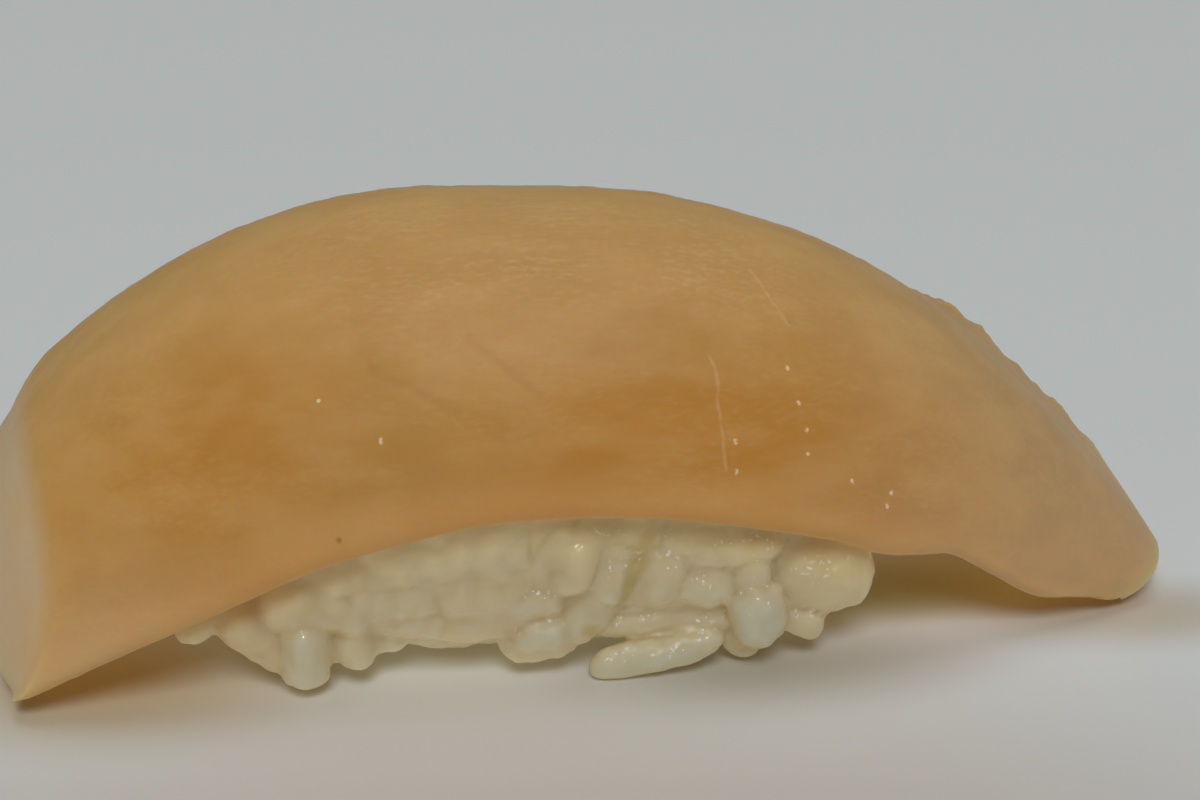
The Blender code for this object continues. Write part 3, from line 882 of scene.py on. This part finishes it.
def flesh_marks(nodes, place, base):
    """Lays the faint seams, the pale streaks and the dark speck on the flesh's colour."""
    for start, end, width in SEAMS:
        base = nodes.tint(base, near_line(nodes, place, start, end, width), *SEAM_TINT)
    for start, end, width in PALE_STREAKS:
        broken = nodes.spread(nodes.speckle(900), 0.35, 0.6, 0.1, 0.36)
        base = nodes.tint(base, near_line(nodes, place, start, end, width), broken, STREAK)
    return nodes.tint(base, near_line(nodes, place, SPECK, SPECK, SPECK_SIZE), *SPECK_TINT)


def flesh_colour(nodes):
    """Amber flesh with its zones, mottled and flecked along its fibres."""
    base = nodes.mix(nodes.spread(nodes.speckle(90), 0.35, 0.65), *AMBER)
    for name, share, colour in FLESH_ZONES:
        base = nodes.tint(base, nodes.painted(name), share, colour)
    base = nodes.mix(nodes.spread(nodes.painted("thin"), 0.5, 0.95, 0, 0.55), base, THIN_FLESH)
    base = nodes.tint(base, nodes.painted("band"), *CUT_TINT)
    mottle = nodes.speckle(420, 3.0, stretch=(0.35, 1, 1))
    base = nodes.mix(nodes.spread(mottle, 0.35, 0.7, 0, 0.35), base, MOTTLE)
    flecks = nodes.spread(nodes.speckle(3600, 3.0, stretch=(0.4, 1, 1)), 0.42, 0.78, 0, 0.4)
    gathered = nodes.spread(nodes.speckle(230, stretch=(0.5, 1, 1)), 0.40, 0.62, 0.25, 1)
    upper = nodes.math("MULTIPLY", nodes.spread(nodes.painted("wet"), 0, 1, 0.3, 1), gathered)
    return nodes.tint(base, flecks, upper, FLECK)


def flesh_material():
    """Raw white tuna: amber where it is thick, paler and greyer where it thins, wet all over."""
    nodes = Nodes("tuna_flesh")
    even = nodes.vector("SUBTRACT", nodes.speckle(700, output="Color"), Vector((0.5, 0.5, 0.5)))
    sway = nodes.vector("SCALE", even, STREAK_SWAY)
    swayed = nodes.vector("ADD", nodes.painted("place", "Vector"), sway)
    place = nodes.vector("MULTIPLY", swayed, Vector((1, 1, 0)))
    beads = flesh_beads(nodes, place)
    base = flesh_marks(nodes, place, flesh_colour(nodes))
    # The beads are painted pale: a painted glint on each.
    base = nodes.mix(nodes.spread(beads, 0.25, 0.6, 0, 0.8), base, BEAD_GLINT)
    nodes.join(base, nodes.shader.inputs["Base Color"])
    fibres = nodes.bump(nodes.speckle(700, 3.0, stretch=(0.35, 1, 1), turn=(0, 0.5, 0)), 0.00012, 0.4)
    wetness = nodes.math("MULTIPLY", nodes.speckle(3600, 3.0), nodes.painted("wet"))
    wet = nodes.bump(wetness, 0.00015, under=fibres)
    nodes.join(nodes.bump(beads, 0.00025, under=wet), nodes.shader.inputs["Coat Normal"])
    nodes.join(nodes.spread(beads, 0.0, 0.3, 0.05, 1.0), nodes.shader.inputs["Coat Weight"])
    nodes.join(fibres, nodes.shader.inputs["Normal"])
    # A painted glow on the underside, for light that passes through the flesh.
    nodes.join(nodes.painted("under"), nodes.shader.inputs["Emission Strength"])
    nodes.settle(
        Roughness=0.55, IOR=1.38, Specular_IOR_Level=0.3, Coat_Roughness=0.3, Emission_Color=FLESH_GLOW,
        Subsurface_Weight=1.0, Subsurface_Scale=0.004, Subsurface_Radius=(1.0, 0.55, 0.28),
    )
    return nodes.material


def rice_colour(nodes):
    """Milky rice with its zones, with painted shade in the hollows and creases and painted glints on the wet
    grains.
    """
    base = nodes.mix(nodes.spread(nodes.speckle(160), 0.35, 0.65), *MILKY)
    for name, share, colour in RICE_ZONES:
        base = nodes.tint(base, nodes.painted(name), share, colour)
    # Painted shade in the hollows.
    base = nodes.mix(nodes.spread(nodes.painted("hollow"), 0, 0.9, 0, 0.85), base, HOLLOW_SHADE)
    broken = nodes.spread(nodes.speckle(330), 0.42, 0.62, 0.05, 0.6)
    # Painted shade in the creases between grains.
    base = nodes.tint(base, nodes.painted("crease"), broken, CREASE_SHADE)
    # Painted glints: small white spots in clusters, where the grains face the lamp.
    clusters = nodes.spread(nodes.speckle(450, 1.0), 0.50, 0.58)
    glint_spots = nodes.math("MULTIPLY", nodes.spread(nodes.speckle(3400, 1.0), 0.62, 0.68), clusters)
    return nodes.tint(base, glint_spots, nodes.painted("glint"), PAINTED_GLINT)


def rice_material():
    """Cooked rice: milky, glistening where it is wet."""
    nodes = Nodes("sushi_rice")
    nodes.join(rice_colour(nodes), nodes.shader.inputs["Base Color"])
    nodes.join(nodes.bump(nodes.speckle(1400, 3.0), 0.0001, 0.5), nodes.shader.inputs["Normal"])
    nodes.join(nodes.bump(nodes.speckle(2600), 0.00016, 0.9), nodes.shader.inputs["Coat Normal"])
    # A painted glow, for light that passes through the rice and the flesh.
    nodes.join(nodes.painted("glow"), nodes.shader.inputs["Emission Strength"])
    nodes.settle(
        Roughness=0.45, IOR=1.38, Specular_IOR_Level=0.2, Coat_Weight=0.4, Coat_Roughness=0.1,
        Emission_Color=RICE_GLOW, Subsurface_Weight=1.0, Subsurface_Scale=0.0035,
        Subsurface_Radius=(1.0, 0.93, 0.82),
    )
    return nodes.material


def floor_material():
    """A pale floor with painted shade and shadows, warm with light through the flesh, in a few places around
    the nigiri.
    """
    nodes = Nodes("pale_floor")
    place = nodes.add("ShaderNodeTexCoord").outputs["Object"]
    base = PALE
    # Painted shadows, tinted by light through the flesh.
    for middle, reach, even, warm in PAINTED_SHADE_PLACES:
        scaled = nodes.vector("DIVIDE", nodes.vector("SUBTRACT", place, Vector(middle)), Vector(reach))
        base = nodes.mix(nodes.spread(nodes.vector("LENGTH", scaled), even, 1.0, 1, 0), base, warm)
    nodes.join(base, nodes.shader.inputs["Base Color"])
    nodes.settle(Roughness=FLOOR_ROUGHNESS)
    return nodes.material


def build_floor():
    """A wide, flat floor at Z = 0."""
    bpy.ops.mesh.primitive_plane_add(size=FLOOR_SIZE)
    floor = bpy.context.object
    floor.name = "floor"
    floor.data.materials.append(floor_material())
    floor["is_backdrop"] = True


def bearing(azimuth, elevation):
    """The way from the nigiri to what stands at this azimuth from the front and this elevation."""
    level = math.cos(elevation)
    return Vector((math.sin(azimuth) * level, -math.cos(azimuth) * level, math.sin(elevation)))


def far_light(name, azimuth, elevation, spread, strength, colour, glint):
    """An even light from far away. A glint light only shines back, and the others light what is dull."""
    light = bpy.data.lights.new(name, "SUN")
    light.angle, light.energy, light.color = math.radians(spread), strength, colour
    lamp = place_object(name, light)
    towards = bearing(math.radians(azimuth), math.radians(elevation))
    lamp.rotation_euler = towards.to_track_quat("Z", "Y").to_euler()
    lamp.visible_diffuse, lamp.visible_glossy = not glint, glint


def light_scene():
    """A faint warm sky and three lamps."""
    world = bpy.data.worlds.new("studio")
    world.use_nodes = True
    sky = world.node_tree.nodes["Background"]
    sky.inputs["Color"].default_value = SKY
    sky.inputs["Strength"].default_value = SKY_STRENGTH
    bpy.context.scene.world = world
    for light in LIGHTS:
        far_light(*light)
    bpy.context.scene.view_settings.view_transform = "Standard"


def place_camera():
    """The camera, a little to the left of the front and above."""
    camera = bpy.data.cameras.new("camera")
    camera.sensor_width, camera.lens = SENSOR, LENS
    camera.clip_start = NEAREST_SEEN
    holder = place_object("camera", camera)
    back = bearing(VIEW_AZIMUTH, VIEW_ELEVATION)
    holder.location = LOOK_AT + back * VIEW_DISTANCE
    holder.rotation_euler = back.to_track_quat("Z", "Y").to_euler()
    bpy.context.scene.camera = holder


def dress(piece, material, node):
    """Gives a piece its material and lets it stand for a node of the frame."""
    shade_smooth(piece)
    piece.data.materials.clear()
    piece.data.materials.append(material)
    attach(piece, "root")
    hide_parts(node)


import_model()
cad_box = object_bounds()
place_camera()
dress(build_slice(), flesh_material(), "fish_slice")
dress(build_rice(), rice_material(), "rice")
build_floor()
light_scene()
{name: [list(corner) for corner in box] for name, box in (("cad", cad_box), ("visual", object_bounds()))}
